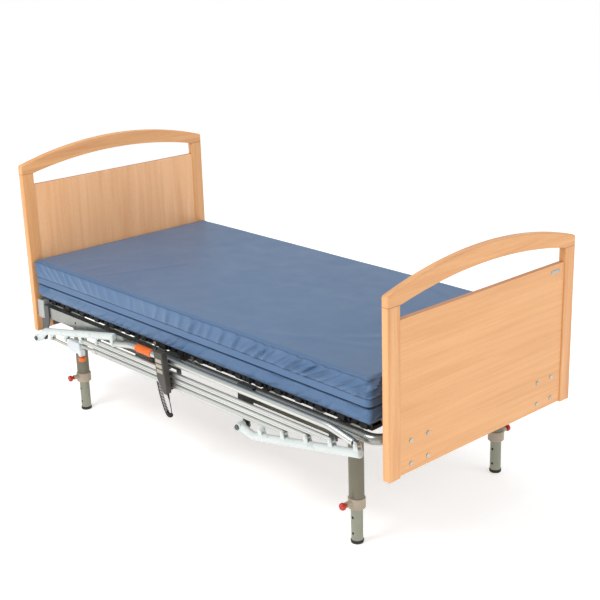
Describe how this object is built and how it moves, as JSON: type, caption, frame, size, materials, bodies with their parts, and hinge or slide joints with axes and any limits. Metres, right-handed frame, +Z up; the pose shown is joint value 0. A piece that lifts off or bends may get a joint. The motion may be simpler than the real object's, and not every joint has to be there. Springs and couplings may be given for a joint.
{
  "type": "adjustable hospital bed",
  "caption": "Adjustable care bed with arched beech end boards, lifting back and knee sections, telescopic legs, folding side rails, hand control and covered mattress.",
  "frame": {"origin": "on the floor under the middle of the bed, at the bottom centre of its box", "axes": "+X towards the foot end, +Z up, near side rail and handset on the -Y side"},
  "size_m": [2.136, 1.0562, 1.148],
  "materials": {
    "beech": "satin beech laminate",
    "fastener_steel": "zinc plated",
    "frame_silver": "silver powder coat",
    "bracket_grey": "dark grey powder coat",
    "section_dark": "black powder coat",
    "socket_grey": "grey powder coat",
    "leg_khaki": "grey powder coat",
    "collar_plastic": "moulded",
    "slat_wood": "layered wood",
    "mattress_cover": "coated incontinence cover",
    "motor_plastic": "moulded",
    "rod_steel": "polished",
    "handset_shell": "moulded",
    "handset_key": "moulded",
    "cord_black": "satin",
    "leg_silver": "silver powder coat",
    "knob_red": "moulded",
    "arm_white": "pale grey powder coat",
    "bar_aluminium": "anodised",
    "latch_white": "moulded",
    "latch_orange": "moulded"
  },
  "bodies": {
    "bed_frame": {"headboard_panel": "beech", "headboard_frame": "beech", "footboard_panel": "beech", "footboard_frame": "beech", "frame_fasteners": "fastener_steel", "head_frame": "frame_silver", "foot_frame": "frame_silver", "frame_brackets": "bracket_grey", "pole_sockets": "socket_grey", "leg_housings": "leg_khaki", "leg_collars": "collar_plastic", "seat_frame": "section_dark", "seat_slats": "slat_wood", "mattress_seat": "mattress_cover", "back_actuator": "motor_plastic", "knee_actuator": "motor_plastic", "control_box": "motor_plastic", "rail_mounts": "bracket_grey", "handset": "handset_shell", "handset_cord": "cord_black"},
    "back_section": {"back_frame": "section_dark", "back_slats": "slat_wood", "mattress_back": "mattress_cover"},
    "thigh_section": {"thigh_frame": "section_dark", "thigh_slats": "slat_wood", "mattress_thigh": "mattress_cover"},
    "calf_section": {"calf_frame": "section_dark", "calf_slats": "slat_wood", "mattress_calf": "mattress_cover"},
    "back_rod": {"back_actuator_rod": "rod_steel"},
    "knee_rod": {"knee_actuator_rod": "rod_steel"},
    "leg_near_head": {"leg_near_head": "leg_silver"},
    "leg_knob_near_head": {"leg_knob_near_head": "knob_red"},
    "leg_far_head": {"leg_far_head": "leg_silver"},
    "leg_knob_far_head": {"leg_knob_far_head": "knob_red"},
    "leg_near_foot": {"leg_near_foot": "leg_silver"},
    "leg_knob_near_foot": {"leg_knob_near_foot": "knob_red"},
    "leg_far_foot": {"leg_far_foot": "leg_silver"},
    "leg_knob_far_foot": {"leg_knob_far_foot": "knob_red"},
    "near_head_arm": {"near_head_arm": "arm_white"},
    "near_foot_arm": {"near_foot_arm": "arm_white"},
    "near_top_rail": {"near_top_rail": "bar_aluminium"},
    "near_bar_2": {"near_bar_2": "bar_aluminium"},
    "near_bar_3": {"near_bar_3": "bar_aluminium"},
    "near_bar_4": {"near_bar_4": "bar_aluminium"},
    "near_latch_block": {"near_latch_block": "latch_white"},
    "near_latch_button": {"near_latch_button": "latch_orange"},
    "near_latch_strut": {"near_latch_strut": "fastener_steel"},
    "far_head_arm": {"far_head_arm": "arm_white"},
    "far_foot_arm": {"far_foot_arm": "arm_white"},
    "far_top_rail": {"far_top_rail": "bar_aluminium"},
    "far_bar_2": {"far_bar_2": "bar_aluminium"},
    "far_bar_3": {"far_bar_3": "bar_aluminium"},
    "far_bar_4": {"far_bar_4": "bar_aluminium"},
    "far_latch_block": {"far_latch_block": "latch_white"},
    "far_latch_button": {"far_latch_button": "latch_orange"},
    "far_latch_strut": {"far_latch_strut": "fastener_steel"},
    "handset_button_1": {"handset_button_1": "handset_key"},
    "handset_button_2": {"handset_button_2": "handset_key"},
    "handset_button_3": {"handset_button_3": "handset_key"}
  },
  "joints": [
    {"name": "back_lift", "type": "hinge", "parent": "bed_frame", "child": "back_section", "pos_m": [-0.215, 0, 0.484], "axis": [0, 1, 0], "range_deg": [0, 70]},
    {"name": "knee_lift", "type": "hinge", "parent": "bed_frame", "child": "thigh_section", "pos_m": [0.02, 0, 0.484], "axis": [0, -1, 0], "range_deg": [0, 30]},
    {"name": "calf_fold", "type": "hinge", "parent": "thigh_section", "child": "calf_section", "pos_m": [0.35, 0, 0.484], "axis": [0, -1, 0], "range_deg": [-46, 0]},
    {"name": "back_rod_slide", "type": "slide", "parent": "bed_frame", "child": "back_rod", "axis": [-1, 0, 0], "range_m": [0, 0.161]},
    {"name": "knee_rod_slide", "type": "slide", "parent": "bed_frame", "child": "knee_rod", "axis": [1, 0, 0], "range_m": [0, 0.0625]},
    {"name": "height_near_head", "type": "slide", "parent": "bed_frame", "child": "leg_near_head", "axis": [0, 0, 1], "range_m": [-0.12, 0.12]},
    {"name": "knob_pull_near_head", "type": "slide", "parent": "bed_frame", "child": "leg_knob_near_head", "axis": [0, -1, 0], "range_m": [0, 0.01], "stiffness_N_per_m": 900, "springref_m": -0.004},
    {"name": "height_far_head", "type": "slide", "parent": "bed_frame", "child": "leg_far_head", "axis": [0, 0, 1], "range_m": [-0.12, 0.12]},
    {"name": "knob_pull_far_head", "type": "slide", "parent": "bed_frame", "child": "leg_knob_far_head", "axis": [0, 1, 0], "range_m": [0, 0.01], "stiffness_N_per_m": 900, "springref_m": -0.004},
    {"name": "height_near_foot", "type": "slide", "parent": "bed_frame", "child": "leg_near_foot", "axis": [0, 0, 1], "range_m": [-0.12, 0.12]},
    {"name": "knob_pull_near_foot", "type": "slide", "parent": "bed_frame", "child": "leg_knob_near_foot", "axis": [0, -1, 0], "range_m": [0, 0.01], "stiffness_N_per_m": 900, "springref_m": -0.004},
    {"name": "height_far_foot", "type": "slide", "parent": "bed_frame", "child": "leg_far_foot", "axis": [0, 0, 1], "range_m": [-0.12, 0.12]},
    {"name": "knob_pull_far_foot", "type": "slide", "parent": "bed_frame", "child": "leg_knob_far_foot", "axis": [0, 1, 0], "range_m": [0, 0.01], "stiffness_N_per_m": 900, "springref_m": -0.004},
    {"name": "near_rail_lift", "type": "hinge", "parent": "bed_frame", "child": "near_head_arm", "pos_m": [-1.002, -0.494, 0.33], "axis": [0, -1, 0], "range_deg": [0, 78.8]},
    {"name": "near_foot_arm_turn", "type": "hinge", "parent": "bed_frame", "child": "near_foot_arm", "pos_m": [0.358, -0.494, 0.33], "axis": [0, -1, 0], "range_deg": [0, 79]},
    {"name": "near_top_rail_turn", "type": "hinge", "parent": "near_head_arm", "child": "near_top_rail", "pos_m": [-0.41735, -0.494, 0.44576], "axis": [0, -1, 0], "range_deg": [-79, 0]},
    {"name": "near_bar_2_turn", "type": "hinge", "parent": "near_head_arm", "child": "near_bar_2", "pos_m": [-0.53507, -0.494, 0.42246], "axis": [0, -1, 0], "range_deg": [-79, 0]},
    {"name": "near_bar_3_turn", "type": "hinge", "parent": "near_head_arm", "child": "near_bar_3", "pos_m": [-0.65278, -0.494, 0.39915], "axis": [0, -1, 0], "range_deg": [-79, 0]},
    {"name": "near_bar_4_turn", "type": "hinge", "parent": "near_head_arm", "child": "near_bar_4", "pos_m": [-0.7705, -0.494, 0.37584], "axis": [0, -1, 0], "range_deg": [-79, 0]},
    {"name": "near_latch_slide", "type": "slide", "parent": "near_bar_4", "child": "near_latch_block", "axis": [1, 0, 0], "range_m": [0, 0.0876]},
    {"name": "near_strut_turn", "type": "hinge", "parent": "near_latch_block", "child": "near_latch_strut", "pos_m": [-0.7305, -0.494, 0.34884], "axis": [0, -1, 0], "range_deg": [0, 38]},
    {"name": "near_latch_press", "type": "slide", "parent": "near_latch_block", "child": "near_latch_button", "axis": [0, 0, 1], "range_m": [0, 0.004], "stiffness_N_per_m": 1200, "springref_m": -0.002},
    {"name": "far_rail_lift", "type": "hinge", "parent": "bed_frame", "child": "far_head_arm", "pos_m": [-1.002, 0.494, 0.33], "axis": [0, -1, 0], "range_deg": [0, 78.8]},
    {"name": "far_foot_arm_turn", "type": "hinge", "parent": "bed_frame", "child": "far_foot_arm", "pos_m": [0.358, 0.494, 0.33], "axis": [0, -1, 0], "range_deg": [0, 79]},
    {"name": "far_top_rail_turn", "type": "hinge", "parent": "far_head_arm", "child": "far_top_rail", "pos_m": [-0.41735, 0.494, 0.44576], "axis": [0, -1, 0], "range_deg": [-79, 0]},
    {"name": "far_bar_2_turn", "type": "hinge", "parent": "far_head_arm", "child": "far_bar_2", "pos_m": [-0.53507, 0.494, 0.42246], "axis": [0, -1, 0], "range_deg": [-79, 0]},
    {"name": "far_bar_3_turn", "type": "hinge", "parent": "far_head_arm", "child": "far_bar_3", "pos_m": [-0.65278, 0.494, 0.39915], "axis": [0, -1, 0], "range_deg": [-79, 0]},
    {"name": "far_bar_4_turn", "type": "hinge", "parent": "far_head_arm", "child": "far_bar_4", "pos_m": [-0.7705, 0.494, 0.37584], "axis": [0, -1, 0], "range_deg": [-79, 0]},
    {"name": "far_latch_slide", "type": "slide", "parent": "far_bar_4", "child": "far_latch_block", "axis": [1, 0, 0], "range_m": [0, 0.0876]},
    {"name": "far_strut_turn", "type": "hinge", "parent": "far_latch_block", "child": "far_latch_strut", "pos_m": [-0.7305, 0.494, 0.34884], "axis": [0, -1, 0], "range_deg": [0, 38]},
    {"name": "far_latch_press", "type": "slide", "parent": "far_latch_block", "child": "far_latch_button", "axis": [0, 0, 1], "range_m": [0, 0.004], "stiffness_N_per_m": 1200, "springref_m": -0.002},
    {"name": "handset_key_1", "type": "hinge", "parent": "bed_frame", "child": "handset_button_1", "pos_m": [-0.058, -0.53591, 0.47993], "axis": [1, 0, 0], "range_deg": [-5, 5], "stiffness_Nm_per_rad": 0.4},
    {"name": "handset_key_2", "type": "hinge", "parent": "bed_frame", "child": "handset_button_2", "pos_m": [-0.058, -0.53403, 0.45852], "axis": [1, 0, 0], "range_deg": [-5, 5], "stiffness_Nm_per_rad": 0.4},
    {"name": "handset_key_3", "type": "hinge", "parent": "bed_frame", "child": "handset_button_3", "pos_m": [-0.058, -0.53216, 0.4371], "axis": [1, 0, 0], "range_deg": [-5, 5], "stiffness_Nm_per_rad": 0.4}
  ],
  "couplings": [
    {"joint": "calf_fold", "follows": "knee_lift", "ratio": -1.52},
    {"joint": "back_rod_slide", "follows": "back_lift", "m_per_rad": 0.13145},
    {"joint": "knee_rod_slide", "follows": "knee_lift", "m_per_rad": 0.11863},
    {"joint": "near_foot_arm_turn", "follows": "near_rail_lift", "ratio": 1},
    {"joint": "near_top_rail_turn", "follows": "near_rail_lift", "ratio": -1},
    {"joint": "near_bar_2_turn", "follows": "near_rail_lift", "ratio": -1},
    {"joint": "near_bar_3_turn", "follows": "near_rail_lift", "ratio": -1},
    {"joint": "near_bar_4_turn", "follows": "near_rail_lift", "ratio": -1},
    {"joint": "near_latch_slide", "follows": "near_rail_lift", "m_per_rad": 0.063571},
    {"joint": "near_strut_turn", "follows": "near_rail_lift", "ratio": 0.47542},
    {"joint": "far_foot_arm_turn", "follows": "far_rail_lift", "ratio": 1},
    {"joint": "far_top_rail_turn", "follows": "far_rail_lift", "ratio": -1},
    {"joint": "far_bar_2_turn", "follows": "far_rail_lift", "ratio": -1},
    {"joint": "far_bar_3_turn", "follows": "far_rail_lift", "ratio": -1},
    {"joint": "far_bar_4_turn", "follows": "far_rail_lift", "ratio": -1},
    {"joint": "far_latch_slide", "follows": "far_rail_lift", "m_per_rad": 0.063571},
    {"joint": "far_strut_turn", "follows": "far_rail_lift", "ratio": 0.47542}
  ]
}
